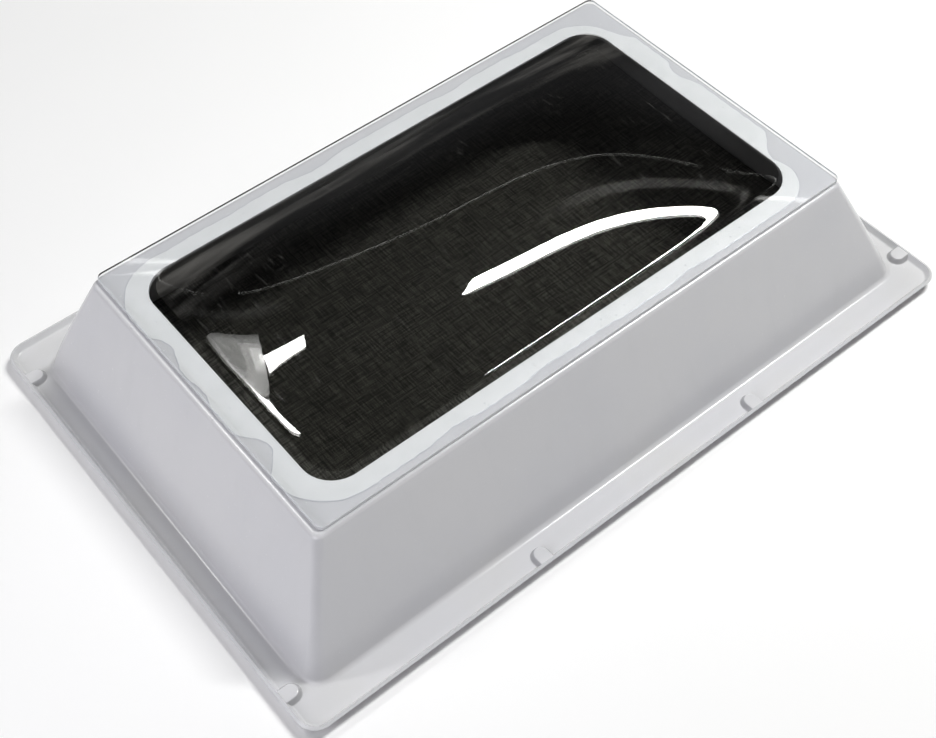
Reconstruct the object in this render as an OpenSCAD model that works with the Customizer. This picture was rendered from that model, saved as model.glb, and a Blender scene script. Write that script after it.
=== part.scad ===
// Fixed roof vent cover for a caravan: a formed white shell with a turned-up lip,
// a clear domed sheet bonded over its opening, and a foam seal under its flange.
// Millimetres. +X runs along the cover, +Z points up, and Z = 0 is the roof.

/* [Flange] */
// Length of the whole cover, across the lip
flange_l = 629; // [500:1:780]
// Width of the whole cover, across the lip
flange_w = 426; // [350:1:530]
// Corner radius of the lip's outer edge
flange_r = 16; // [12:0.5:30]
// Flange width at each end, from the lip's outer edge to the wall
flange_end = 22; // [20:0.5:45]
// Flange width along each side, from the lip's outer edge to the wall
flange_side = 28; // [20:0.5:45]

/* [Lip] */
// Height of the lip above the flange
lip_h = 5; // [3:0.1:9]
// Lean of the lip outwards from upright, in degrees
lip_lean = 30; // [5:1:40]
// Radius of the bend at the lip's root
lip_r = 2; // [1:0.1:2.5]

/* [Shell] */
// Height of the shell, from the flange's underside to the top ring
shell_h = 102; // [70:1:150]
// Thickness of the formed sheet
sheet_t = 2.5; // [1.5:0.1:4]
// How far each end wall leans in from foot to ridge
run_end = 44; // [15:1:60]
// How far each side wall leans in from foot to ridge
run_side = 40; // [15:1:60]
// Radius of the hollow bend where a wall meets the flange
foot_bend = 5; // [2:0.5:7]
// Radius of the ridge where a wall meets the top ring
ridge_r = 4.5; // [4.1:0.1:7]
// Plan radius of the wall corners along their length
edge_r = 7; // [6.5:0.5:12]
// Extra plan radius of the wall corners at the foot
foot_flare = 9; // [0:0.5:14]

/* [Opening] */
// Width of the top ring, from the ridge to the opening
ring_w = 24.5; // [22:0.5:36]
// Corner radius of the opening
open_r = 26; // [16:1:40]

/* [Glazing] */
// Thickness of the clear sheet
glaze_t = 3; // [2:0.1:5]
// How far the sheet stops short of the ridge at each end
glaze_inset_end = 2; // [0:0.5:5]
// How far the sheet stops short of the ridge along each side
glaze_inset_side = 1; // [0:0.5:5]
// Corner radius of the sheet
glaze_r = 6; // [2:0.5:12]
// Distance the sheet was laid off centre along the cover
glaze_shift_x = 3; // [-4:0.1:4]
// Distance the sheet was laid off centre across the cover
glaze_shift_y = 1.8; // [-3:0.1:3]
// Rise of the blown dome above its rim
dome_rise = 30; // [10:1:60]
// Gap left between the opening's edge and the foot of the dome, all round
dome_gap = 4; // [3.6:0.1:8]
// Softness of the bend at the foot of the dome
dome_ease = 1.5; // [0.5:0.1:4]

/* [Bond] */
// Thickness of the bond between ring and sheet
bond_t = 0.4; // [0.2:0.1:1]
// Mean distance from the ridge to the edge of the bond
bond_margin = 8.5; // [7.5:0.5:14]
// How far the squeezed-out edge of the bond wanders
bond_wave = 2.6; // [0:0.1:3]

/* [Stacking pads] */
// Width of a pad at its base
pad_w = 15; // [8:0.5:18]
// Reach of a pad, from the lip's outer edge inwards
pad_reach = 17; // [14:0.5:20]
// Drop from the lip's edge to the top of a pad
pad_drop = 0.6; // [0:0.1:2]
// Slope of a pad's side, as its run from base to top
pad_draft = 1.6; // [0.5:0.1:3]
// Distance of the side pads from the middle of the cover
pad_x = 106; // [60:1:200]
// Distance of the end pads from the corners of the cover
pad_corner = 37; // [28:1:120]

/* [Seal] */
// Width of the foam strip
seal_w = 12; // [6:0.5:12]
// Thickness of the foam strip
seal_t = 3; // [1.5:0.5:8]
// Distance of the seal from the bend of the lip
seal_inset = 0.3; // [0:0.1:4]

/* [Hidden] */

corner_steps = 8;          // chords round each plan corner of the shell
bend_steps = 4;            // chords round each bend of the sheet
wall_steps = 5;            // levels up a straight wall
dome_chords = [12, 8];     // chords along the dome's outlines, on the long and short runs
dome_steps = 11;           // outlines from the foot of the dome to its crown
bond_chords = [66, 32];    // chords along the bond's edge, on the long and short runs
flare_power = 5;           // how fast the foot flare dies away up the wall
crown_flat = 3.4;          // power of the dome's lengthwise curve
pad_facets = 48;

flange_z = seal_t + sheet_t;              // top face of the flange
rise = shell_h - sheet_t;                 // top face of the flange to top face of the ring
ring_z = flange_z + rise;                 // top face of the ring
foot = [flange_l / 2 - flange_end, flange_w / 2 - flange_side];
run = [run_end, run_side];
crown = foot - run;                       // half sizes of the ridge line
opening = crown - [ring_w, ring_w];       // half sizes of the opening
bond_w = ring_w - bond_margin;            // mean width of the bond
slope = [atan(run.x / rise), atan(run.y / rise)];
bend_turn = 90 - max(slope);              // turn of the foot bend, flange to wall
lip_turn = 90 - lip_lean;
lip_out = lip_r * sin(lip_turn) + (lip_h - lip_r * (1 - cos(lip_turn))) * tan(lip_lean);
lip_reach = lip_out + sheet_t * cos(lip_lean);   // flat of the flange to the outer edge
flat = [flange_l / 2 - lip_reach, flange_w / 2 - lip_reach];
flat_r = flange_r - lip_reach;
pad_y = flange_w / 2 - pad_corner;

// Outlines in plan: a rounded rectangle given by half sizes h, corner radius r,
// n chords round a corner and m chords along each long and short straight run.
function arc(c, r, from, n) = [for (i = [0:n]) c + r * [cos(from + 90 * i / n), sin(from + 90 * i / n)]];
function between(a, b, m) = m < 2 ? [] : [for (i = [1:m - 1]) a + (b - a) * i / m];
function run_on(a, m) = concat(a[0], between(a[0][len(a[0]) - 1], a[1], m));
function outline(h, r, n = corner_steps, m = [1, 1]) =
    let (k = h - [r, r],
         q = [arc(k, r, 0, n), arc([-k.x, k.y], r, 90, n), arc(-k, r, 180, n), arc([k.x, -k.y], r, 270, n)])
    [for (i = [0:3]) for (p = run_on([q[i], q[(i + 1) % 4][0]], m[i % 2])) p];
function lift(pts, z) = [for (p = pts) [p.x, p.y, z]];

// Section of the sheet, o below its top face. x is measured inwards from the sharp
// foot of the wall and z upwards from the flange's top face. Both bends are arcs.
function tangent_len(r, s) = r * tan((90 - s) / 2);
function foot_x(z, s, o) =
    sqrt(max(0, pow(foot_bend + o, 2) - pow(foot_bend - z, 2))) - tangent_len(foot_bend, s);
function ridge_x(z, s, o) =
    rise * tan(s) + tangent_len(ridge_r, s) - sqrt(max(0, pow(ridge_r - o, 2) - pow(z - rise + ridge_r, 2)));
function wall_x(z, s, o) = z * tan(s) + o / cos(s);
function foot_top(s, o) = foot_bend - (foot_bend + o) * sin(s);
function ridge_foot(s, o) = rise - ridge_r + (ridge_r - o) * sin(s);
function section_x(z, s, o) =
    z < foot_top(s, o) ? foot_x(z, s, o) : z > ridge_foot(s, o) ? ridge_x(z, s, o) : wall_x(z, s, o);

// Levels of the section: up the foot bend, up the wall and over the ridge.
function levels(o) = let (s = max(slope), low = foot_top(s, o), high = ridge_foot(s, o)) concat(
    [for (i = [0:bend_steps]) foot_bend - (foot_bend + o) * cos(bend_turn * i / bend_steps)],
    [for (i = [1:wall_steps - 1]) low + (high - low) * pow(i / wall_steps, 1.5)],
    [for (i = [0:bend_steps]) rise - ridge_r + (ridge_r - o) * sin(s + (90 - s) * i / bend_steps)]);
function corner_r(z, o) =
    edge_r + foot_flare * pow(1 - max(0, z) / rise, flare_power)
    - (section_x(z, slope.x, o) - z * tan(slope.x));
function wall_ring(z, o) =
    lift(outline(foot - [section_x(z, slope.x, o), section_x(z, slope.y, o)], max(0.8, corner_r(z, o))), z);

// Rings of the lip, from its edge down to the flat of the flange.
function lip_ring(x, z) = lift(outline(flat + [x, x], flat_r + x), z);
function lip_rings(o) = concat(
    [lip_ring(lip_out + o * cos(lip_lean), lip_h - o * sin(lip_lean))],
    [for (i = [bend_steps:-1:0]) let (a = lip_turn * i / bend_steps)
        lip_ring((lip_r + o) * sin(a), lip_r - (lip_r + o) * cos(a))]);
function face_rings(o) = concat(
    lip_rings(o),
    [for (z = levels(o)) wall_ring(z, o)],
    [lift(outline(opening, open_r), rise - o)]);
function reversed(v) = [for (i = [len(v) - 1:-1:0]) v[i]];
function joined(v) = [for (a = v) for (b = a) b];

// Side faces between rings that all have n points.
function band_faces(n, rings, closed) =
    [for (i = [0:rings - (closed ? 1 : 2)]) for (j = [0:n - 1])
        let (a = i * n + j, b = i * n + (j + 1) % n, next = ((i + 1) % rings - i) * n)
        for (t = [[a, b + next, b], [a, a + next, b + next]]) t];

// A solid through rings that come back to the first one.
module tube_of(rings) {
    n = len(rings[0]);
    polyhedron(joined(rings), band_faces(n, len(rings), true), convexity = 8);
}

// A solid through rings, closed by flat ends.
module stack_of(rings) {
    n = len(rings[0]);
    last = (len(rings) - 1) * n;
    ends = [[for (j = [0:n - 1]) j], [for (j = [n - 1:-1:0]) last + j]];
    polyhedron(joined(rings), concat(band_faces(n, len(rings), false), ends), convexity = 8);
}

// One pad, with its round nose along +Y and its root running out under the lip.
module pad() {
    top = lip_h - pad_drop + sheet_t / 2;
    nose = pad_reach - lip_reach - pad_w / 2;
    translate([0, nose, -sheet_t / 2])
        cylinder(h = top, d1 = pad_w, d2 = pad_w - 2 * pad_draft, $fn = pad_facets);
    translate([0, nose, -sheet_t / 2])
        rotate([90, 0, 0])
            linear_extrude(nose + lip_reach)
                polygon([[-pad_w / 2, 0], [pad_w / 2, 0],
                         [pad_w / 2 - pad_draft, top], [pad_draft - pad_w / 2, top]]);
}

module pads() {
    for (turn = [0, 180], side = [-1, 1]) {
        rotate(turn) translate([side * pad_x, -flat.y, 0]) pad();
        rotate(turn) translate([-flat.x, side * pad_y, 0]) rotate(-90) pad();
    }
}

// Formed shell: lip, flange, walls and top ring in one sheet, with its stacking pads.
module curb_shell() {
    color([0.93, 0.93, 0.94])
    translate([0, 0, flange_z])
    union() {
        tube_of(concat(face_rings(0), reversed(face_rings(sheet_t))));
        intersection() {
            stack_of(reversed(lip_rings(sheet_t / 2)));
            pads();
        }
    }
}

// Bond between ring and sheet, with the wandering edge of a squeezed-out adhesive.
function bond_edge() =
    let (base = outline(opening, open_r, corner_steps, bond_chords), n = len(base))
    [for (i = [0:n - 1])
        let (t = 360 * i / n,
             w = bond_w + bond_wave * (0.5 * sin(23 * t) + 0.3 * sin(37 * t + 80) + 0.2 * sin(9 * t + 30)),
             p = outline(opening + [w, w], open_r + w, corner_steps, bond_chords)[i])
        p];
module bond_film() {
    color([0.87, 0.9, 0.89])
    translate([0, 0, ring_z])
    linear_extrude(bond_t)
    difference() {
        polygon(bond_edge());
        polygon(outline(opening, open_r));
    }
}

// Domed sheet. The dome's height is a product of one curve along the cover and one
// across it, eased at its foot, and its outlines turn from the opening's shape to ovals.
dome = opening - [dome_gap, dome_gap];
dome_r = open_r - dome_gap;
function dome_h(p) =
    let (u = min(1, abs(p.x) / dome.x), v = min(1, abs(p.y) / dome.y),
         h = (dome_rise + dome_ease) * (1 - pow(u, crown_flat)) * (1 - v * v))
    sqrt(h * h + dome_ease * dome_ease) - dome_ease;
function oval(pts, h) = [for (p = pts) let (a = atan2(p.y / h.y, p.x / h.x)) [h.x * cos(a), h.y * sin(a)]];
function dome_outline(s) =
    let (box = outline(dome * s, dome_r * s, corner_steps, dome_chords), round = oval(box, dome * s), e = 1 - s)
    [for (i = [0:len(box) - 1]) box[i] * (1 - e) + round[i] * e];
function dome_ring(s, z) = [for (p = dome_outline(s)) [p.x, p.y, z + (s < 1 ? dome_h(p) : 0)]];
function glaze_rings(z) = concat(
    [lift(outline(crown - [glaze_inset_end, glaze_inset_side], glaze_r, corner_steps, dome_chords), z)],
    [for (i = [0:dome_steps]) dome_ring(1 - pow(i / (dome_steps + 1), 1.5), z)]);
module dome_glazing() {
    color([0.75, 0.8, 0.82, 0.4])
    translate([glaze_shift_x, glaze_shift_y, ring_z + bond_t])
    stack_of(concat(reversed(glaze_rings(0)), glaze_rings(glaze_t)));
}

// Foam strips: the long ones run full length and the short ones butt between them.
// Their outer corners follow the flange's.
strip = flat - [seal_inset, seal_inset];
module seal_strip(middle, size) {
    color([0.16, 0.16, 0.17])
    linear_extrude(seal_t)
    intersection() {
        translate(middle) square(size, center = true);
        polygon(outline(strip, flat_r - seal_inset));
    }
}
module long_strip(side) { seal_strip([0, side * (strip.y - seal_w / 2)], [2 * strip.x, seal_w]); }
module short_strip(side) {
    seal_strip([side * (strip.x - seal_w / 2), 0], [seal_w, 2 * (strip.y - seal_w)]);
}
module seal_front() { long_strip(-1); }
module seal_rear() { long_strip(1); }
module seal_left() { short_strip(-1); }
module seal_right() { short_strip(1); }

curb_shell();
bond_film();
dome_glazing();
seal_front();
seal_rear();
seal_left();
seal_right();
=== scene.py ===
"""Looks of the roof vent cover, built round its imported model.

Metres. +X runs along the cover, +Z points up, and the roof is at z = 0.
"""

import math

import bpy
from mathutils import Matrix, Quaternion, Vector


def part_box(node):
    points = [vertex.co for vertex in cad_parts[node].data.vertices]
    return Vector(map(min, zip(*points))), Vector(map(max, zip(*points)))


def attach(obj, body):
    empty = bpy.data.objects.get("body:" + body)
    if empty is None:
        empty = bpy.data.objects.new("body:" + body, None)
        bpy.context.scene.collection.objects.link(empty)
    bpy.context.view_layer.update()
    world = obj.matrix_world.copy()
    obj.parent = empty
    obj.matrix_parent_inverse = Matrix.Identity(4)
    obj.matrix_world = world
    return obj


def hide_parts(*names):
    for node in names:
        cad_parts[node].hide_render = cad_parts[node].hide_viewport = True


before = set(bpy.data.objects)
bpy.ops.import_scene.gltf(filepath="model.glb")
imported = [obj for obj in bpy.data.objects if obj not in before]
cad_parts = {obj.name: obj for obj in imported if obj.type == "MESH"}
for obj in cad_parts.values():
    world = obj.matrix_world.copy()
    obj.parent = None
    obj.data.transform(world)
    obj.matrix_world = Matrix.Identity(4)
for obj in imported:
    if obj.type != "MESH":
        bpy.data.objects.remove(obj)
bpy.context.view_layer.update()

MM = 0.001

# The formed sheet.
SHEET = 2.5 * MM
FLANGE_END = 22 * MM
FLANGE_SIDE = 28 * MM
FLANGE_CORNER = 16 * MM
LIP_HEIGHT = 5 * MM
LIP_LEAN = math.radians(30)
LIP_BEND = 2 * MM
RUN_END = 44 * MM
RUN_SIDE = 40 * MM
FOOT_BEND = 5 * MM
RIDGE_BEND = 4.5 * MM
WALL_CORNER = 7 * MM
FOOT_FLARE = 9 * MM
FLARE_POWER = 5
RING_WIDTH = 24.5 * MM
LEAST_CORNER = 0.8 * MM
OPENING_CORNER = 26 * MM

# The stacking pads on the flange.
PAD_WIDTH = 15 * MM
PAD_REACH = 17 * MM
PAD_TOP = 4.4 * MM
PAD_VALLEY = 0.9 * MM
PAD_SHOULDER = 2.5 * MM
PAD_ROOT = 2.5 * MM
PAD_SINK = 0.06 * MM
PAD_DEPTH = 0.3 * MM
PAD_ALONG = 106 * MM
PAD_ACROSS = 176 * MM

# The clear sheet and its dome.
GLAZE = 3 * MM
GLAZE_CORNER = 6 * MM
GLAZE_EDGE = 0.35 * MM
DOME_GAP = 4 * MM
DOME_RISE = 30 * MM
DOME_EASE = 1.5 * MM
DOME_POWER = 3.4

# The bond between ring and clear sheet: how far it reaches from the opening, how deep its unwetted
# pockets go, how much shorter and calmer it is along the long sides, and its curled edge.
BOND_REACH = 21 * MM
BOND_POCKET = 12 * MM
BOND_SHORT = 5.5 * MM
CALM_SIDE = 0.75
BOND_RIPPLE = 5 * MM
BOND_CURL = 0.8 * MM
BOND_GAP = 0.06 * MM

# The share of a foam strip's half width that is left at a snipped corner, and how far its sides belly out.
SNIPPED = 0.3
BELLY = 0.7 * MM
FOAM_WOBBLE = 0.18 * MM

# Painted shade with grime by the wall's foot, and weave.
SHADE_AND_GRIME_HEIGHT = 16 * MM
WEAVE_PITCH = 1.6 * MM
MAT_TOP = 0.4 * MM
MAT_GAP = 2 * MM
FLOOR_REACH = 8

# How finely the outlines of the pieces are cut: steps round a corner, along a long and a short side.
SHELL_CUTS = (16, 24, 16)
GLAZE_CUTS = (14, 44, 26)
BOND_CUTS = (20, 260, 140)
DROP_CUTS = (20, 130, 70)
# Rings from the dome's foot to its crown, steps across and along a pad, steps along a foam strip.
DOME_RINGS = 44
PAD_CUTS = (36, 42)
LONG_STRIP_CUTS = 160
SHORT_STRIP_CUTS = 110
# Steps in each zone of the formed sheet, on its outer and inner face.
OUTER_STEPS = (3, 7, 6, 10, 10, 10, 5)
INNER_STEPS = (2, 4, 3, 5, 6, 5, 2)

SHELL_LOW, SHELL_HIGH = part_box("curb_shell")
GLAZE_LOW, GLAZE_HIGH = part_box("dome_glazing")
FLANGE_TOP = SHELL_LOW.z + SHEET
RING_TOP = SHELL_HIGH.z
RISE = RING_TOP - FLANGE_TOP
LENGTH = SHELL_HIGH.x - SHELL_LOW.x
WIDTH = SHELL_HIGH.y - SHELL_LOW.y
RIM_LOW = GLAZE_LOW.z
RIM_TOP = RIM_LOW + GLAZE
GLAZE_MIDDLE = (GLAZE_LOW + GLAZE_HIGH) / 2
GLAZE_HALF = (GLAZE_HIGH - GLAZE_LOW) / 2
OPENING = (LENGTH / 2 - FLANGE_END - RUN_END - RING_WIDTH,
           WIDTH / 2 - FLANGE_SIDE - RUN_SIDE - RING_WIDTH)
DOME = (OPENING[0] - DOME_GAP, OPENING[1] - DOME_GAP)


# Camera, first.
def make_camera():
    place = Vector((-0.4682, -0.6083, 0.92395))
    look_at = Vector((-0.0855, -0.0994, 0.105))
    roll = math.radians(-2.62)
    camera = bpy.data.objects.new("camera", bpy.data.cameras.new("camera"))
    bpy.context.scene.collection.objects.link(camera)
    camera.data.sensor_width = 36
    camera.data.lens = 56.85
    camera.data.clip_start = 0.05
    camera.data.clip_end = 50
    camera.location = place
    camera.rotation_mode = "QUATERNION"
    aim = (look_at - place).to_track_quat("-Z", "Y")
    camera.rotation_quaternion = aim @ Quaternion((0, 0, 1), roll)
    bpy.context.scene.camera = camera


make_camera()


# Nodes, written as Python expressions.
class Wire:
    """An output socket that arithmetic can be done on."""

    def __init__(self, nodes, socket):
        self.nodes = nodes
        self.socket = socket

    def __add__(self, other):
        return self.nodes.math("ADD", self, other)

    __radd__ = __add__

    def __mul__(self, other):
        return self.nodes.math("MULTIPLY", self, other)

    __rmul__ = __mul__

    def __sub__(self, other):
        return self.nodes.math("SUBTRACT", self, other)

    def __rsub__(self, other):
        return self.nodes.math("SUBTRACT", other, self)

    def __truediv__(self, other):
        return self.nodes.math("DIVIDE", self, other)

    def __rtruediv__(self, other):
        return self.nodes.math("DIVIDE", other, self)

    def __pow__(self, other):
        return self.nodes.math("POWER", self, other)

    def __lt__(self, other):
        return self.nodes.math("LESS_THAN", self, other)

    def __gt__(self, other):
        return self.nodes.math("GREATER_THAN", self, other)


class Nodes:
    """Makes and joins the nodes of one tree."""

    def __init__(self, tree):
        self.tree = tree
        tree.nodes.clear()

    def feed(self, socket, value):
        if isinstance(value, Wire):
            self.tree.links.new(value.socket, socket)
        else:
            socket.default_value = value

    def node(self, kind, settings=None, inputs=None, output=None):
        """A node of a kind, with its settings made first. Output names the socket to hand back."""
        made = self.tree.nodes.new(kind)
        for name, value in (settings or {}).items():
            setattr(made, name, value)
        for name, value in (inputs or {}).items():
            self.feed(self.pick(made.inputs, name), value)
        return Wire(self, self.pick(made.outputs, output)) if output is not None else made

    @staticmethod
    def pick(sockets, name):
        if isinstance(name, int):
            return sockets[name]
        return next(s for s in sockets if s.name == name and s.enabled)

    def math(self, operation, *values, clamp=False):
        inputs = dict(enumerate(values))
        return self.node("ShaderNodeMath", {"operation": operation, "use_clamp": clamp}, inputs, 0)

    def clamp(self, value):
        return self.math("ADD", value, 0, clamp=True)

    def blend(self, start, end, share):
        return start + (end - start) * share

    def choose(self, test, yes, no):
        return no + (yes - no) * test

    def mix(self, share, first, second):
        """A colour between two colours."""
        return self.node("ShaderNodeMix", {"data_type": "RGBA"}, {0: share, 6: first, 7: second}, 2)

    def step(self, value, low, high):
        """0 below low, 1 above high, and smooth between."""
        return self.node("ShaderNodeMapRange", {"interpolation_type": "SMOOTHSTEP"},
                         {"Value": value, "From Min": low, "From Max": high}, "Result")

    def noise(self, place, scale, detail=3.0, rough=0.5, twist=0.0):
        return self.node("ShaderNodeTexNoise", {}, {
            "Vector": place, "Scale": scale, "Detail": detail, "Roughness": rough,
            "Distortion": twist}, "Fac")

    def stretched(self, place, scale, turn=(0, 0, 0)):
        return self.node("ShaderNodeMapping", {}, {
            "Vector": place, "Rotation": turn, "Scale": scale}, "Vector")

    def parts(self, vector):
        made = self.node("ShaderNodeSeparateXYZ", {}, {"Vector": vector})
        return [Wire(self, output) for output in made.outputs]

    def join(self, *wires):
        made = self.tree.nodes.new("GeometryNodeJoinGeometry")
        for wire in wires:
            self.feed(made.inputs[0], wire)
        return Wire(self, made.outputs[0])

    def bump(self, height, strength, distance, before=None):
        inputs = {"Height": height, "Strength": strength, "Distance": distance}
        if before is not None:
            inputs["Normal"] = before
        return self.node("ShaderNodeBump", {}, inputs, "Normal")


def material(name):
    """A new material, its nodes and the object's own coordinates."""
    made = bpy.data.materials.new(name)
    made.use_nodes = True
    nodes = Nodes(made.node_tree)
    place = nodes.node("ShaderNodeTexCoord", output="Object")
    return made, nodes, place


def surface(nodes, **sockets):
    """The material's Principled shader, wired to its output."""
    names = {key.replace("_", " "): value for key, value in sockets.items()}
    shader = nodes.node("ShaderNodeBsdfPrincipled", {}, names, "BSDF")
    nodes.node("ShaderNodeOutputMaterial", {}, {"Surface": shader})
    return shader


def white_shell(name, painted_side_shade):
    """Vacuum-formed white plastic: faint clouding, a fine pebbled skin and a little dust.

    The second argument is how much painted shade darkens its steep sides. Low down by the wall's foot it
    also paints shade, with a little grime.
    """
    made, n, place = material(name)
    _, _, z = n.parts(place)
    cloud = n.noise(place, 9, 4)
    fine = n.noise(place, 260, 3, 0.6)
    skin = n.noise(place, 1100, 2)
    draw = n.noise(n.stretched(place, (60, 60, 3)), 1, 3, 0.55)
    # Painted shade: patchy darkening low down by the wall's foot, which also roughens the skin like grime.
    low = 1 - n.step(z, FLANGE_TOP - SHEET, FLANGE_TOP + SHADE_AND_GRIME_HEIGHT)
    foot_shade_and_grime = low * n.step(cloud, 0.42, 0.72) * 0.35
    dust = n.step(n.noise(place, 420, 2, 0.7), 0.66, 0.76)
    white = n.mix(n.step(cloud, 0.3, 0.7), (0.655, 0.658, 0.683, 1), (0.683, 0.683, 0.7, 1))
    white = n.mix(foot_shade_and_grime, white, (0.58, 0.585, 0.57, 1))
    white = n.mix(dust * 0.1, white, (0.54, 0.53, 0.51, 1))
    # Painted shade: faces that don't face up are darkened, as much as the second argument says.
    _, _, upward = n.parts(n.node("ShaderNodeNewGeometry", output="Normal"))
    white = n.mix((1 - n.step(upward, 0.55, 0.97)) * painted_side_shade, white, (0.3, 0.3, 0.31, 1))
    white = n.mix(n.step(draw, 0.5, 0.75) * 0.25, white, (0.63, 0.635, 0.65, 1))
    rough = 0.2 + (fine - 0.5) * 0.08 + dust * 0.15 + foot_shade_and_grime * 0.12
    relief = n.bump(skin, 0.12, 0.12 * MM, n.bump(n.noise(place, 45, 3), 0.25, 0.5 * MM))
    surface(n, Base_Color=white, Roughness=rough, Normal=relief, IOR=1.5)
    return made


def bond():
    """Milky adhesive, mottled where it is thin, with pin holes."""
    made, n, place = material("milky_bond")
    mottle = n.noise(place, 70, 4, 0.6, 0.6)
    holes = n.node("ShaderNodeTexVoronoi", {"feature": "F1"}, {"Vector": place, "Scale": 150.0}, "Distance")
    pin = (1 - n.step(holes, 0.09, 0.16)) * n.step(n.noise(place, 24, 2), 0.52, 0.62)
    body = n.mix(n.step(mottle, 0.3, 0.7), (0.755, 0.768, 0.77, 1), (0.795, 0.803, 0.808, 1))
    body = n.mix(pin * 0.6, body, (0.5, 0.52, 0.54, 1))
    rough = 0.3 + mottle * 0.2
    surface(n, Base_Color=body, Roughness=rough, Normal=n.bump(mottle, 0.2, 0.1 * MM), IOR=1.45)
    return made


def glass(name, tint, streak_share):
    """Clear or smoked acrylic with hairlines, dust and pale streaks over its rear slope.

    Lamps shine through it. The third argument is the most that the pale streaks cover.
    """
    made, n, place = material(name)
    _, y, _ = n.parts(place)
    streaked = n.step(n.noise(n.stretched(place, (5, 60, 60), (0, 0, 0.12)), 1, 4, 0.6), 0.42, 0.72)
    pale_streaks = streaked * n.step(y, 0.055, 0.115) * streak_share
    grain = n.noise(place, 30, 4, 0.6)
    rub = n.noise(n.stretched(place, (900, 30, 30), (0, 0, 0.2)), 1, 2, 0.6)
    cross = n.noise(n.stretched(place, (25, 700, 25), (0, 0, 0.5)), 1, 2, 0.6)
    hair = (n.step(rub, 0.66, 0.7) * n.step(grain, 0.5, 0.62)
            + n.step(cross, 0.7, 0.73) * n.step(grain, 0.55, 0.7))
    speck = n.step(n.noise(place, 500, 2, 0.7), 0.72, 0.78)
    rough = 0.012 + n.clamp(hair) * 0.1 + speck * 0.25 + grain * 0.012
    relief = n.bump(rub + cross, 0.01, 0.05 * MM)
    dusty = n.node("ShaderNodeBsdfDiffuse", {}, {"Color": (0.78, 0.76, 0.72, 1)}, "BSDF")
    acrylic = n.node("ShaderNodeBsdfPrincipled", {}, {
        "Base Color": tint, "Roughness": rough, "Normal": relief, "IOR": 1.49,
        "Transmission Weight": 1.0}, "BSDF")
    dust = n.clamp(hair) * 0.05 + speck * 0.12 + pale_streaks
    acrylic = n.node("ShaderNodeMixShader", {}, {0: dust, 1: acrylic, 2: dusty}, 0)
    passing = n.node("ShaderNodeBsdfTransparent", {}, {"Color": tint}, "BSDF")
    for ray in ("Is Diffuse Ray", "Is Shadow Ray"):
        light = n.node("ShaderNodeLightPath", output=ray)
        acrylic = n.node("ShaderNodeMixShader", {}, {0: light, 1: acrylic, 2: passing}, 0)
    n.node("ShaderNodeOutputMaterial", {}, {"Surface": acrylic})
    return made


def dark_edge():
    """A near-black cut edge for the clear sheet, with streaks."""
    made, n, place = material("near_black_cut_edge")
    streak = n.noise(n.stretched(place, (40, 40, 700)), 1, 3)
    body = n.mix(streak, (0.008, 0.008, 0.01, 1), (0.05, 0.048, 0.045, 1))
    surface(n, Base_Color=body, Roughness=0.35 + streak * 0.3, Normal=n.bump(streak, 0.3, 0.2 * MM))
    return made


def sawn_edge():
    """The milky sawn edge of the clear sheet, with the saw's marks."""
    made, n, place = material("milky_sawn_edge")
    marks = n.noise(n.stretched(place, (700, 700, 60)), 1, 3)
    body = n.mix(marks, (0.62, 0.63, 0.66, 1), (0.78, 0.79, 0.81, 1))
    surface(n, Base_Color=body, Roughness=0.4 + marks * 0.3, Normal=n.bump(marks, 0.3, 0.15 * MM))
    return made


def meniscus():
    """The thin curled edge of the bond, which looks darker than its middle."""
    made, n, place = material("bond_meniscus")
    run = n.noise(place, 110, 3)
    body = n.mix(run, (0.42, 0.425, 0.47, 1), (0.6, 0.605, 0.64, 1))
    surface(n, Base_Color=body, Roughness=0.25 + run * 0.2, Normal=n.bump(run, 0.2, 0.1 * MM))
    return made


def foam():
    """Closed-cell foam: charcoal, matt, with burst cells on its cut faces."""
    made, n, place = material("closed_cell_foam")
    cells = n.node("ShaderNodeTexVoronoi", {"feature": "F1"}, {"Vector": place, "Scale": 900.0}, "Distance")
    tone = n.noise(place, 120, 3)
    body = n.mix(n.step(cells, 0.15, 0.5), (0.012, 0.012, 0.013, 1), (0.05, 0.05, 0.053, 1))
    body = n.mix(n.step(tone, 0.45, 0.75) * 0.5, body, (0.07, 0.07, 0.072, 1))
    surface(n, Base_Color=body, Roughness=0.85 + tone * 0.1, Normal=n.bump(cells, 0.6, 0.25 * MM))
    return made


# Outlines. A stop on an outline is its corner, as signs, and the way it faces.
def even(count):
    """Shares from +1 to -1 that cut a straight run into equal steps."""
    return [1 - 2 * i / count for i in range(1, count)]


def stops(corner_steps, long_steps, short_steps):
    """Stops round a rounded rectangle: a corner and the side after it, four times."""
    long_shares, short_shares = even(long_steps), even(short_steps)
    found = []
    signs = ((1, 1), (-1, 1), (-1, -1), (1, -1))
    for turn, sign in enumerate(signs):
        for i in range(corner_steps + 1):
            angle = math.pi / 2 * (turn + i / corner_steps)
            found.append((*sign, math.cos(angle), math.sin(angle)))
        shares = short_shares if turn % 2 else long_shares
        end = signs[(turn + 1) % 4]
        for share in shares:
            t = (1 - share) / 2
            middle = [a + (b - a) * t for a, b in zip(sign, end)]
            found.append((*middle, *found[-1][2:]))
    return found


def outline(half, radius, at):
    x, y = half[0] - radius, half[1] - radius
    return [(sx * x + radius * cx, sy * y + radius * cy) for sx, sy, cx, cy in at]


def new_object(name, points, faces, *looks):
    mesh = bpy.data.meshes.new(name)
    mesh.from_pydata(points, [], faces)
    for look in looks:
        mesh.materials.append(look)
    made = bpy.data.objects.new(name, mesh)
    bpy.context.scene.collection.objects.link(made)
    return made


def shade(obj, sharp=math.radians(38)):
    obj.data.shade_smooth()
    obj.data.set_sharp_from_angle(angle=sharp)


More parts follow.
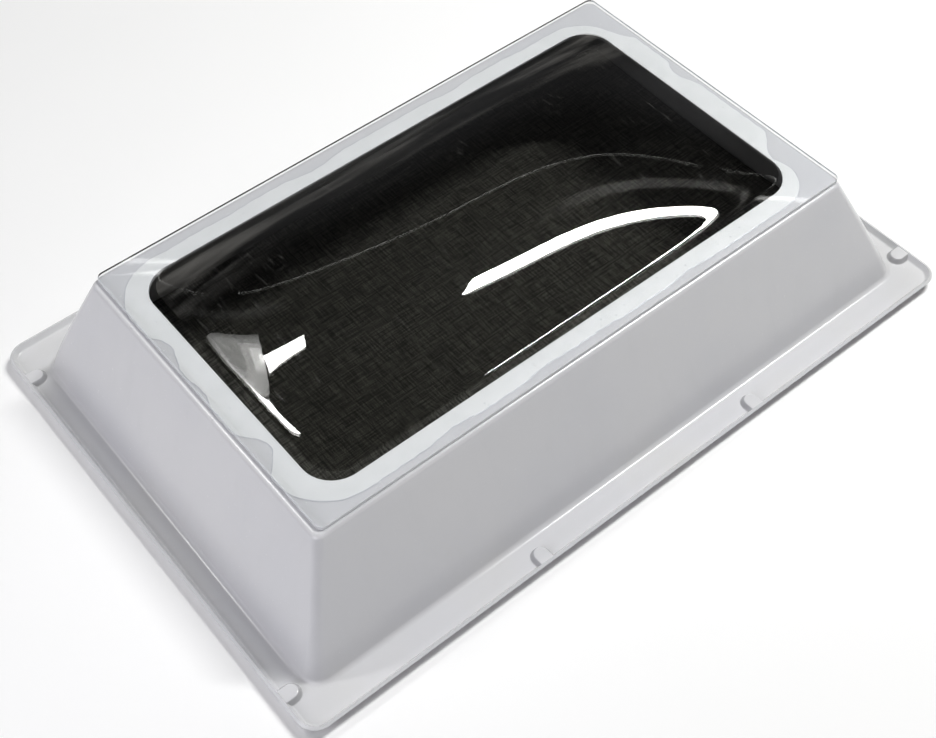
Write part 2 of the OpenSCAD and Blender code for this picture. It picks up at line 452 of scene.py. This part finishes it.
def band(around, rings, closed):
    """Faces between rings of points that are numbered ring by ring."""
    faces = []
    for i in range(rings if closed else rings - 1):
        a, b = i * around, (i + 1) % rings * around
        for j in range(around):
            k = (j + 1) % around
            faces.append((a + j, a + k, b + k, b + j))
    return faces


# Geometry Nodes trees.
def tree_with(name, sizes):
    """A geometry tree with a named input for each size, and the wires of those inputs."""
    tree = bpy.data.node_groups.new(name, "GeometryNodeTree")
    nodes = Nodes(tree)
    tree.interface.new_socket("Geometry", in_out="INPUT", socket_type="NodeSocketGeometry")
    tree.interface.new_socket("Geometry", in_out="OUTPUT", socket_type="NodeSocketGeometry")
    for label, value in sizes.items():
        kind = "NodeSocketInt" if isinstance(value, int) else "NodeSocketFloat"
        tree.interface.new_socket(label, in_out="INPUT", socket_type=kind)
    group = nodes.node("NodeGroupInput")
    wires = {label: Wire(nodes, group.outputs[label]) for label in sizes}
    return tree, nodes, Wire(nodes, group.outputs["Geometry"]), wires


def end_tree(nodes, geometry, look):
    real = nodes.node("GeometryNodeRealizeInstances", {}, {"Geometry": geometry}, "Geometry")
    dressed = nodes.node("GeometryNodeSetMaterial", {}, {"Geometry": real, "Material": look}, "Geometry")
    nodes.node("NodeGroupOutput", {}, {"Geometry": dressed})


def grow(obj, tree, sizes):
    """Runs a tree on an object and keeps the result as its plain mesh."""
    modifier = obj.modifiers.new(tree.name, "NODES")
    modifier.node_group = tree
    for item in tree.interface.items_tree:
        if item.name in sizes and item.in_out == "INPUT":
            modifier[item.identifier] = sizes[item.name]
    obj.update_tag()
    bpy.context.view_layer.update()
    grown = bpy.data.meshes.new_from_object(obj.evaluated_get(bpy.context.evaluated_depsgraph_get()))
    obj.modifiers.clear()
    obj.data = grown
    grown.name = obj.name
    for label in ("corner", "facing", "station", "depth"):
        if label in grown.attributes:
            grown.attributes.remove(grown.attributes[label])


SHELL_SIZES = {
    "Length": LENGTH, "Width": WIDTH, "Rise": RISE, "Flange top": FLANGE_TOP, "Sheet": SHEET,
    "Flange at ends": FLANGE_END, "Flange along sides": FLANGE_SIDE, "Flange corner": FLANGE_CORNER,
    "Lip height": LIP_HEIGHT, "Lip lean": LIP_LEAN, "Lip bend": LIP_BEND,
    "Run of ends": RUN_END, "Run of sides": RUN_SIDE, "Foot bend": FOOT_BEND, "Ridge bend": RIDGE_BEND,
    "Wall corner": WALL_CORNER, "Foot flare": FOOT_FLARE, "Ring width": RING_WIDTH,
    "Opening corner": OPENING_CORNER,
}


def shell_tree(look):
    """Rolls a flat band into the formed sheet.

    A point's station runs 0 to 7: lip, lip bend, flange, foot bend, wall, ridge bend, ring.
    """
    tree, n, geometry, size = tree_with("formed_sheet", SHELL_SIZES)
    sin = lambda a: n.math("SINE", a)
    cos = lambda a: n.math("COSINE", a)
    tan = lambda a: n.math("TANGENT", a)
    root = lambda a: n.math("SQRT", n.math("MAXIMUM", a, 0))
    largest = lambda a, b: n.math("MAXIMUM", a, b)

    def read(label, kind):
        return n.node("GeometryNodeInputNamedAttribute", {"data_type": kind}, {"Name": label}, "Attribute")

    station = read("station", "FLOAT")
    deep = read("depth", "FLOAT")
    below = deep * size["Sheet"]
    side_x, side_y, _ = n.parts(read("corner", "FLOAT_VECTOR"))
    face_x, face_y, _ = n.parts(read("facing", "FLOAT_VECTOR"))
    lip_run = n.clamp(1 - station)
    lip_roll = n.clamp(2 - station)
    flat_run, foot_roll, climb, ridge_roll, ring_run = [
        n.clamp(station - start) for start in range(2, 7)]

    lean, lip_bend, lip_height = size["Lip lean"], size["Lip bend"], size["Lip height"]
    lip_turn = math.pi / 2 - lean
    lip_length = (lip_height - lip_bend * (1 - cos(lip_turn))) / cos(lean)
    out = (lip_bend + below) * sin(lip_turn * lip_roll) + lip_run * lip_length * sin(lean)
    lip_z = lip_bend - (lip_bend + below) * cos(lip_turn * lip_roll) + lip_run * lip_length * cos(lean)
    reach = lip_bend * sin(lip_turn) + lip_length * sin(lean) + size["Sheet"] * cos(lean)
    flat_x = size["Length"] / 2 - reach
    flat_y = size["Width"] / 2 - reach
    flat_corner = size["Flange corner"] - reach

    rise, foot_bend, ridge_bend = size["Rise"], size["Foot bend"], size["Ridge bend"]
    lean_x = n.math("ARCTANGENT", size["Run of ends"] / rise)
    lean_y = n.math("ARCTANGENT", size["Run of sides"] / rise)
    most = largest(lean_x, lean_y)
    foot_top = foot_bend - (foot_bend + below) * sin(most)
    ridge_foot = rise - ridge_bend + (ridge_bend - below) * sin(most)
    bend_z = foot_bend - (foot_bend + below) * cos((math.pi / 2 - most) * foot_roll)
    ridge_z = (ridge_bend - below) * (sin(most + (math.pi / 2 - most) * ridge_roll) - sin(most))
    wall_z = bend_z + (ridge_foot - foot_top) * climb + ridge_z

    def inwards(lean_in):
        """How far the sheet has come in from the sharp foot of a wall."""
        half_turn = tan((math.pi / 2 - lean_in) / 2)
        foot = root((foot_bend + below) ** 2 - (foot_bend - wall_z) ** 2) - foot_bend * half_turn
        wall = wall_z * tan(lean_in) + below / cos(lean_in)
        ridge = (rise * tan(lean_in) + ridge_bend * half_turn
                 - root((ridge_bend - below) ** 2 - (wall_z - rise + ridge_bend) ** 2))
        low = wall_z < foot_bend - (foot_bend + below) * sin(lean_in)
        high = wall_z > rise - ridge_bend + (ridge_bend - below) * sin(lean_in)
        return n.choose(low, foot, n.choose(high, ridge, wall))

    in_x, in_y = inwards(lean_x), inwards(lean_y)
    flare = size["Foot flare"] * (1 - largest(wall_z, 0) / rise) ** FLARE_POWER
    wall_corner = largest(size["Wall corner"] + flare - (in_x - wall_z * tan(lean_x)), LEAST_CORNER)
    foot_x = size["Length"] / 2 - size["Flange at ends"]
    foot_y = size["Width"] / 2 - size["Flange along sides"]
    hole_x = foot_x - size["Run of ends"] - size["Ring width"]
    hole_y = foot_y - size["Run of sides"] - size["Ring width"]
    half_x = n.blend(n.blend(flat_x + out, foot_x - in_x, flat_run), hole_x, ring_run)
    half_y = n.blend(n.blend(flat_y + out, foot_y - in_y, flat_run), hole_y, ring_run)
    corner = n.blend(n.blend(flat_corner + out, wall_corner, flat_run), size["Opening corner"], ring_run)
    x = side_x * (half_x - corner) + corner * face_x
    y = side_y * (half_y - corner) + corner * face_y
    on_lip = station < 2
    z = n.choose(on_lip, lip_z, wall_z)
    place = n.node("ShaderNodeCombineXYZ", {}, {"X": x, "Y": y, "Z": z + size["Flange top"]}, "Vector")
    moved = n.node("GeometryNodeSetPosition", {}, {"Geometry": geometry, "Position": place}, "Geometry")
    end_tree(n, moved, look)
    return tree


def make_shell(look):
    at = stops(*SHELL_CUTS)
    stations = []
    for deep, counts in enumerate((OUTER_STEPS, INNER_STEPS)):
        run = [zone + i / count for zone, count in enumerate(counts) for i in range(count)] + [7]
        stations += [(s, deep) for s in (reversed(run) if deep else run)]
    points = [(0, 0, 0)] * (len(at) * len(stations))
    shell = new_object("formed_shell", points, band(len(at), len(stations), True))
    for label, kind, values in (
        ("corner", "FLOAT_VECTOR", [v for _ in stations for sx, sy, _, _ in at for v in (sx, sy, 0)]),
        ("facing", "FLOAT_VECTOR", [v for _ in stations for _, _, cx, cy in at for v in (cx, cy, 0)]),
        ("station", "FLOAT", [s for s, _ in stations for _ in at]),
        ("depth", "FLOAT", [deep for _, deep in stations for _ in at]),
    ):
        attribute = shell.data.attributes.new(label, kind, "POINT")
        attribute.data.foreach_set("vector" if kind == "FLOAT_VECTOR" else "value", values)
    grow(shell, shell_tree(look), SHELL_SIZES)
    shade(shell)
    return shell


def make_pad():
    """One stacking pad: its nose points along +Y from the lip, and its foot runs out into the flange."""
    across, along = PAD_CUTS
    half = PAD_WIDTH / 2 + PAD_VALLEY
    nose = PAD_REACH - PAD_WIDTH / 2
    first, last = PAD_ROOT, PAD_REACH + PAD_VALLEY
    points = []
    for j in range(along + 1):
        y = first + (last - first) * j / along
        for i in range(across + 1):
            x = half * (2 * i / across - 1)
            distance = math.hypot(x, max(0, y - nose)) - PAD_WIDTH / 2
            share = min(1, max(0, (distance + PAD_SHOULDER) / (PAD_SHOULDER + PAD_VALLEY)))
            rise = 1 - share * share * (3 - 2 * share)
            points.append((x, y, PAD_TOP * rise - PAD_SINK * share))
    row = across + 1
    faces = [(a, a + 1, a + row + 1, a + row)
             for j in range(along) for a in range(j * row, j * row + across)]
    rim = list(range(across))
    rim += [j * row + across for j in range(along)]
    rim += [along * row + i for i in range(across, 0, -1)]
    rim += [j * row for j in range(along, 0, -1)]
    base = len(points)
    points += [(points[i][0], points[i][1], -PAD_DEPTH) for i in rim]
    for k in range(len(rim)):
        after = (k + 1) % len(rim)
        faces.append((rim[after], rim[k], base + k, base + after))
    faces.append([base + k for k in reversed(range(len(rim)))])
    return points, faces


PAD_SIZES = {
    "Length": LENGTH, "Width": WIDTH, "Flange top": FLANGE_TOP,
    "Pad along": PAD_ALONG, "Pad across": PAD_ACROSS,
}


def pad_tree(look):
    """Sets one pad eight times round the lip: a pair on each side, and the same again half a turn round."""
    tree, n, geometry, size = tree_with("stacking_pads", PAD_SIZES)

    def vector(x, y, z):
        return n.node("ShaderNodeCombineXYZ", {}, {"X": x, "Y": y, "Z": z}, "Vector")

    def pair(start, offset, turn):
        line = n.node("GeometryNodeMeshLine", {}, {
            "Count": 2, "Start Location": start, "Offset": offset}, "Mesh")
        return n.node("GeometryNodeInstanceOnPoints", {}, {
            "Points": line, "Instance": geometry, "Rotation": vector(0.0, 0.0, turn)}, "Instances")

    along, across, top = size["Pad along"], size["Pad across"], size["Flange top"]
    side = pair(vector(along * -1, size["Width"] / -2, top), vector(along * 2, 0.0, 0.0), 0.0)
    end = pair(vector(size["Length"] / -2, across * -1, top), vector(0.0, across * 2, 0.0), -math.pi / 2)
    half = n.join(side, end)
    turned = n.node("GeometryNodeTransform", {}, {
        "Geometry": half, "Rotation": (0, 0, math.pi)}, "Geometry")
    end_tree(n, n.join(half, turned), look)
    return tree


def make_pads(look):
    pads = new_object("stacking_pads", *make_pad())
    grow(pads, pad_tree(look), PAD_SIZES)
    shade(pads)
    return pads


def dome_height(x, y):
    u = min(1, abs(x) / DOME[0])
    v = min(1, abs(y) / DOME[1])
    h = (DOME_RISE + DOME_EASE) * (1 - u ** DOME_POWER) * (1 - v * v)
    return math.hypot(h, DOME_EASE) - DOME_EASE


def make_glazing(*looks):
    """The clear sheet: a flat rim with a small chamfer and a blown dome, both faces."""
    at = stops(*GLAZE_CUTS)
    steps = DOME_RINGS

    def dome_ring(share, z):
        box = outline([h * share for h in DOME], (OPENING_CORNER - DOME_GAP) * share, at)
        ring = []
        for x, y in box:
            angle = math.atan2(y / DOME[1], x / DOME[0])
            oval = (DOME[0] * share * math.cos(angle), DOME[1] * share * math.sin(angle))
            px, py = [b * share + o * (1 - share) for b, o in zip((x, y), oval)]
            ring.append((px, py, z + dome_height(px, py)))
        return ring

    def rim_ring(inset, z):
        half = (GLAZE_HALF.x - inset, GLAZE_HALF.y - inset)
        return [(x, y, z) for x, y in outline(half, GLAZE_CORNER - inset, at)]

    shares = [1 - (i / (steps + 1)) ** 1.5 for i in range(steps + 1)]
    under = [dome_ring(share, RIM_LOW) for share in reversed(shares)]
    over = [dome_ring(share, RIM_TOP) for share in shares]
    edges = [rim_ring(GLAZE_EDGE, RIM_LOW), rim_ring(0, RIM_LOW + GLAZE_EDGE),
             rim_ring(0, RIM_TOP - GLAZE_EDGE), rim_ring(GLAZE_EDGE, RIM_TOP)]
    rings = under + edges + over
    count = len(at)
    points = [(x + GLAZE_MIDDLE.x, y + GLAZE_MIDDLE.y, z) for ring in rings for x, y, z in ring]
    crown = RIM_LOW + dome_height(0, 0)
    points += [(GLAZE_MIDDLE.x, GLAZE_MIDDLE.y, crown), (GLAZE_MIDDLE.x, GLAZE_MIDDLE.y, crown + GLAZE)]
    faces = band(count, len(rings), False)
    last = (len(rings) - 1) * count
    low_pole = len(points) - 2
    faces += [(low_pole, (j + 1) % count, j) for j in range(count)]
    faces += [(low_pole + 1, last + j, last + (j + 1) % count) for j in range(count)]
    sheet = new_object("clear_dome", points, faces, *looks)
    for face in sheet.data.polygons:
        x, y = face.center.x - GLAZE_MIDDLE.x, face.center.y - GLAZE_MIDDLE.y
        if abs(face.normal.z) < 0.9:
            face.material_index = 2 if face.normal.y > 0.6 else 3
        if abs(x) < DOME[0] and abs(y) < DOME[1] and dome_height(x, y) > 0:
            face.material_index = 1
    shade(sheet, math.radians(30))
    return sheet


def bond_edge(at):
    """The wandering edge of the squeezed-out bond: slow waves that make pockets, and a fine ripple."""
    count = len(at)
    edge = []
    for i, stop in enumerate(at):
        t = math.tau * i / count
        wander = 0.55 * math.sin(11 * t) + 0.4 * math.sin(19 * t + 1.4) + 0.3 * math.sin(5 * t + 0.5)
        ripple = 0.05 * math.sin(91 * t + 2) + 0.03 * math.sin(173 * t)
        pocket = BOND_POCKET * max(0, wander + 0.15) ** 1.2
        along_side = abs(stop[3])
        reach = BOND_REACH - BOND_SHORT * along_side
        width = reach - pocket * (1 - CALM_SIDE * along_side) + BOND_RIPPLE * ripple
        half = (OPENING[0] + width, OPENING[1] + width)
        edge += outline(half, OPENING_CORNER + width, [stop])
    return edge


def make_bond(*looks):
    """The layer of bond, curling down to nothing at its outer edge."""
    at = stops(*BOND_CUTS)
    low, high = RING_TOP + BOND_GAP / 2, RIM_LOW - BOND_GAP
    middle = (low + high) / 2
    inner = outline(OPENING, OPENING_CORNER, at)
    outer = bond_edge(at)
    curl = []
    for (ox, oy), (ix, iy) in zip(outer, inner):
        share = BOND_CURL / math.hypot(ix - ox, iy - oy)
        curl.append((ox + (ix - ox) * share, oy + (iy - oy) * share))
    rings = [(inner, low), (curl, low), (outer, middle), (curl, high), (inner, high)]
    points = [(x, y, z) for ring, z in rings for x, y in ring]
    faces = band(len(at), len(rings), True)
    layer = new_object("bond_layer", points, faces, *looks)
    for face in layer.data.polygons:
        face.material_index = int(len(at) <= face.index < 3 * len(at))
    shade(layer)
    return layer


BEAD_SIZES = {
    "Spacing": 2.6 * MM, "Smallest": 0.1 * MM, "Largest": 0.75 * MM, "Thickness": 0.16 * MM,
    "Scatter": 3.2 * MM, "Seed": 4,
}


def bead_tree(look):
    """Scatters flattened drops along a line."""
    tree, n, geometry, size = tree_with("bond_drops", BEAD_SIZES)
    line = n.node("GeometryNodeMeshToCurve", {}, {"Mesh": geometry}, "Curve")
    points = n.node("GeometryNodeCurveToPoints", {"mode": "LENGTH"}, {
        "Curve": line, "Length": size["Spacing"]}, "Points")

    def chance(offset, low, high):
        return n.node("FunctionNodeRandomValue", {"data_type": "FLOAT"},
                      {"Min": low, "Max": high, "Seed": size["Seed"] + offset}, "Value")

    slide = n.node("ShaderNodeCombineXYZ", {}, {
        "X": chance(0, size["Scatter"] * -1, size["Scatter"]),
        "Y": chance(1, size["Scatter"] * -1, size["Scatter"])}, "Vector")
    loose = n.node("GeometryNodeSetPosition", {}, {"Geometry": points, "Offset": slide}, "Geometry")
    drop = n.node("GeometryNodeMeshUVSphere", {}, {"Segments": 10, "Rings": 6, "Radius": 1.0}, "Mesh")
    smooth = n.node("GeometryNodeSetShadeSmooth", {}, {"Geometry": drop}, "Geometry")
    across = size["Smallest"] + (size["Largest"] - size["Smallest"]) * chance(2, 0.0, 1.0) ** 3
    scale = n.node("ShaderNodeCombineXYZ", {}, {
        "X": across, "Y": across * chance(3, 0.7, 1.0), "Z": size["Thickness"]}, "Vector")
    placed = n.node("GeometryNodeInstanceOnPoints", {}, {
        "Points": loose, "Instance": smooth, "Scale": scale}, "Instances")
    end_tree(n, placed, look)
    return tree


def make_beads(look):
    at = stops(*DROP_CUTS)
    z = (RING_TOP + RIM_LOW) / 2
    line = [(x, y, z) for x, y in bond_edge(at)]
    mesh = bpy.data.meshes.new("bond_drops")
    mesh.from_pydata(line, [(i, (i + 1) % len(line)) for i in range(len(line))], [])
    drops = bpy.data.objects.new("bond_drops", mesh)
    bpy.context.scene.collection.objects.link(drops)
    grow(drops, bead_tree(look), BEAD_SIZES)
    return drops


def make_strip(name, node, look):
    """A strip of foam, squeezed a little, so that its sides belly out between floor and flange.

    The long strips have their outer corners snipped off, because the flange is round there.
    """
    low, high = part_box(node)
    size = high - low
    length_axis = 0 if size.x > size.y else 1
    steps = LONG_STRIP_CUTS if length_axis == 0 else SHORT_STRIP_CUTS
    squeeze = [(-1, 0), (-0.94, 0.12), (-0.9, 0.5), (-0.94, 0.88), (-1, 1)]
    across = size[1 - length_axis]
    centre = (low + high)[1 - length_axis] / 2
    section = [(-across / 2 + (1 + a) * 6 * BELLY, h) for a, h in squeeze]
    section += [(-u, h) for u, h in reversed(section)]
    points = []
    for i in range(steps + 1):
        along = low[length_axis] + size[length_axis] * i / steps
        for k, (u, h) in enumerate(section):
            wobble = FOAM_WOBBLE * math.sin(i * 1.7 + k * 2.3) * math.sin(i * 0.61) * (0 < h < 1)
            point = [0, 0, low.z + size.z * h]
            point[length_axis] = along
            snipped = length_axis == 0 and i in (0, steps) and u * centre > 0
            point[1 - length_axis] = centre + (SNIPPED * u if snipped else u) + wobble
            points.append(tuple(point))
    n = len(section)
    faces = []
    for i in range(steps):
        for k in range(n):
            a, b = i * n + k, i * n + (k + 1) % n
            faces.append((a, b, b + n, a + n))
    faces += [tuple(reversed(range(n))), tuple(range(steps * n, steps * n + n))]
    if length_axis == 0:
        faces = [tuple(reversed(face)) for face in faces]
    strip = new_object(name, points, faces, look)
    shade(strip, math.radians(50))
    return strip


# Pieces.
SHELL_LOOK = white_shell("white_formed_plastic", 0)
# The pads' plastic paints shade on its steep sides.
PAD_LOOK = white_shell("white_pad_plastic", 0.6)
BOND_LOOK = bond()
CLEAR_LOOK = glass("clear_acrylic", (0.97, 0.975, 0.98, 1), 0)
SMOKED_LOOK = glass("smoked_acrylic", (0.5, 0.5, 0.49, 1), 0.1)
EDGE_LOOK = dark_edge()
SAWN_LOOK = sawn_edge()
MENISCUS_LOOK = meniscus()
FOAM_LOOK = foam()

PIECES = [
    (make_shell(SHELL_LOOK), "curb_shell", "white_shell"),
    (make_pads(PAD_LOOK), None, "white_shell"),
    (make_glazing(CLEAR_LOOK, SMOKED_LOOK, EDGE_LOOK, SAWN_LOOK), "dome_glazing", "clear_glazing"),
    (make_bond(BOND_LOOK, MENISCUS_LOOK), "bond_film", "bond"),
    (make_beads(BOND_LOOK), None, "bond"),
    (make_strip("foam_front", "seal_front", FOAM_LOOK), "seal_front", "foam_seal"),
    (make_strip("foam_rear", "seal_rear", FOAM_LOOK), "seal_rear", "foam_seal"),
    (make_strip("foam_left", "seal_left", FOAM_LOOK), "seal_left", "foam_seal"),
    (make_strip("foam_right", "seal_right", FOAM_LOOK), "seal_right", "foam_seal"),
]
for piece, node, slot in PIECES:
    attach(piece, "root")
    if node:
        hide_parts(node)
    slot == "foam_seal"


# Floor, mat and light.
def flat_square(name, x, y, z, look):
    return new_object(name, [(-x, -y, z), (x, -y, z), (x, y, z), (-x, y, z)], [(0, 1, 2, 3)], look)


def make_floor():
    """A plain pale floor, and a dark woven mat that lies inside the cover's hollow."""
    pale, n, place = material("pale_floor")
    tone = n.noise(place, 6, 3)
    body = n.mix(tone, (0.96, 0.96, 0.963, 1), (0.98, 0.98, 0.983, 1))
    surface(n, Base_Color=body, Roughness=0.8 + tone * 0.1)
    flat_square("floor", FLOOR_REACH, FLOOR_REACH, 0, pale)

    dark, n, place = material("dark_weave")
    x, y, _ = n.parts(place)
    warp = n.math("SINE", x * (math.tau / WEAVE_PITCH) + n.noise(place, 90, 2) * 3)
    weft = n.math("SINE", y * (math.tau / WEAVE_PITCH) + n.noise(place, 80, 2) * 3)
    slub_along = n.noise(n.stretched(place, (40, 700, 1)), 1, 3, 0.7)
    slub_across = n.noise(n.stretched(place, (700, 40, 1)), 1, 3, 0.7)
    slub = slub_along * slub_across
    yarn = n.clamp(warp * weft * 0.5 + 0.5) * n.step(slub, 0.14, 0.4)
    wool = n.mix(yarn, (0.045, 0.045, 0.04, 1), (0.5, 0.49, 0.44, 1))
    surface(n, Base_Color=wool, Roughness=0.9 + yarn * 0.05, Normal=n.bump(yarn, 0.5, 0.5 * MM))
    low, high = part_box("seal_front")
    half_x = high.x - (high.y - low.y) - MAT_GAP
    half_y = -high.y - MAT_GAP
    flat_square("mat", half_x, half_y, MAT_TOP, dark)


def make_lamp(name, start, end, width, power, colour, aim):
    """An area lamp whose long side runs from start to end and whose face looks at aim."""
    start, end, aim = Vector(start), Vector(end), Vector(aim)
    lamp = bpy.data.lights.new(name, "AREA")
    lamp.shape = "RECTANGLE"
    lamp.size = (end - start).length
    lamp.size_y = width
    lamp.energy = power
    lamp.color = colour
    made = bpy.data.objects.new(name, lamp)
    bpy.context.scene.collection.objects.link(made)
    middle = (start + end) / 2
    long_way = (end - start).normalized()
    back = (middle - aim).normalized()
    short_way = back.cross(long_way).normalized()
    back = long_way.cross(short_way)
    turn = Matrix((long_way, short_way, back)).transposed().to_4x4()
    made.matrix_world = Matrix.Translation(middle) @ turn


# Lamps: name, ends of the long side, width, power, colour. The two narrow ones and the thin strip make
# the highlights on the dome, and the soft ones fill the walls.
LAMPS = (
    ("long_lamp", (0.75, 0.09, 2.1), (1.66, -0.4, 2.1), 0.13, 54, (1, 1, 0.98)),
    ("short_lamp", (-0.43, 1.06, 2.1), (-0.98, 1.37, 2.1), 0.12, 9, (1, 1, 1)),
    ("edge_glow", (-0.35, 2.48, 2.1), (2.54, 0.55, 2.1), 0.01, 0.35, (1, 1, 0.97)),
    ("soft_side", (-1.6, 0.25, 0.75), (-1.37, -0.85, 0.75), 0.8, 10.3, (0.96, 0.95, 1)),
    ("soft_front", (-0.5, -1.7, 0.7), (0.9, -1.6, 0.7), 0.6, 0.6, (1, 0.99, 0.98)),
)
# The glow at the end of the short lamp is a stack of lamps from one corner: the size and power of each.
GLOW_CORNER = (-0.97, 1.42, 2.1)
GLOWS = ((0.05, 0.3), (0.12, 0.9), (0.19, 1.3), (0.26, 1.5), (0.33, 1.4))


def make_light():
    middle = (0, 0, RING_TOP)
    for lamp in LAMPS:
        make_lamp(*lamp, middle)
    x, y, z = GLOW_CORNER
    for number, (spread, power) in enumerate(GLOWS):
        end = (x - spread, y + spread, z)
        make_lamp(f"short_glow_{number}", GLOW_CORNER, end, 1.5 * spread, power, (1, 1, 0.98), middle)
    world = bpy.data.worlds.new("soft_room")
    bpy.context.scene.world = world
    world.use_nodes = True
    n = Nodes(world.node_tree)
    way = n.node("ShaderNodeTexCoord", output="Generated")
    _, _, up = n.parts(way)
    glow = 1 - n.step(up, 0.12, 0.5)
    tone = n.mix(glow, (0.015, 0.015, 0.016, 1), (0.06, 0.06, 0.063, 1))
    air = n.node("ShaderNodeBackground", {}, {"Color": tone, "Strength": 1.0}, "Background")
    n.node("ShaderNodeOutputWorld", {}, {"Surface": air})
    bpy.context.scene.view_settings.view_transform = "Standard"


make_floor()
make_light()
